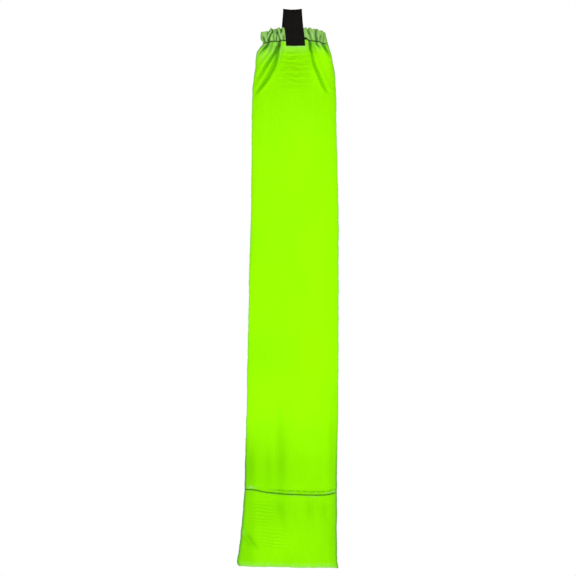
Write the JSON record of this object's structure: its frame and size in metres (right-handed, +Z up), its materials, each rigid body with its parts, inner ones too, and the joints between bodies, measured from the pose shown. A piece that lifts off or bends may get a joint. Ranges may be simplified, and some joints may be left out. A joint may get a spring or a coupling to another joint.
{
  "type": "windsock sleeve",
  "caption": "Long flat windsock sleeve of fluorescent lime nylon with an elastic-gathered mouth, a black webbing hanging loop and a deep stitched tail hem.",
  "frame": {"origin": "where a hook bears on the flat inside the top of the webbing loop", "axes": "+Z up along the hanging sleeve, X across its flat width, the front panel faces -Y"},
  "size_m": [0.1335, 0.0152, 0.7258],
  "materials": {
    "lime_nylon": "fluorescent lime woven nylon, soft sheen",
    "black_webbing": "matt black woven polypropylene webbing",
    "elastic": "white braided elastic",
    "dark_thread": "dark green sewing thread"
  },
  "bodies": {
    "hang_loop": {"webbing_loop": "black_webbing"},
    "sleeve": {"front_panel": "lime_nylon", "back_panel": "lime_nylon", "elastic_band": "elastic", "webbing_tab_front": "black_webbing", "webbing_tab_back": "black_webbing", "mouth_stitch_front": "dark_thread", "mouth_stitch_back": "dark_thread", "hem_stitch_front": "dark_thread", "hem_stitch_back": "dark_thread", "side_seam_left": "dark_thread", "side_seam_right": "dark_thread"},
    "tail": {"tail_hem_front": "lime_nylon", "tail_hem_back": "lime_nylon", "tail_seam_left": "dark_thread", "tail_seam_right": "dark_thread"}
  },
  "joints": [
    {"name": "sleeve_swing", "type": "hinge", "parent": "hang_loop", "child": "sleeve", "pos_m": [0, 0, -0.0246], "axis": [1, 0, 0], "range_deg": [-70, 70]},
    {"name": "tail_fold", "type": "hinge", "parent": "sleeve", "child": "tail", "pos_m": [0, 0, -0.633], "axis": [1, 0, 0], "range_deg": [-110, 110]}
  ]
}
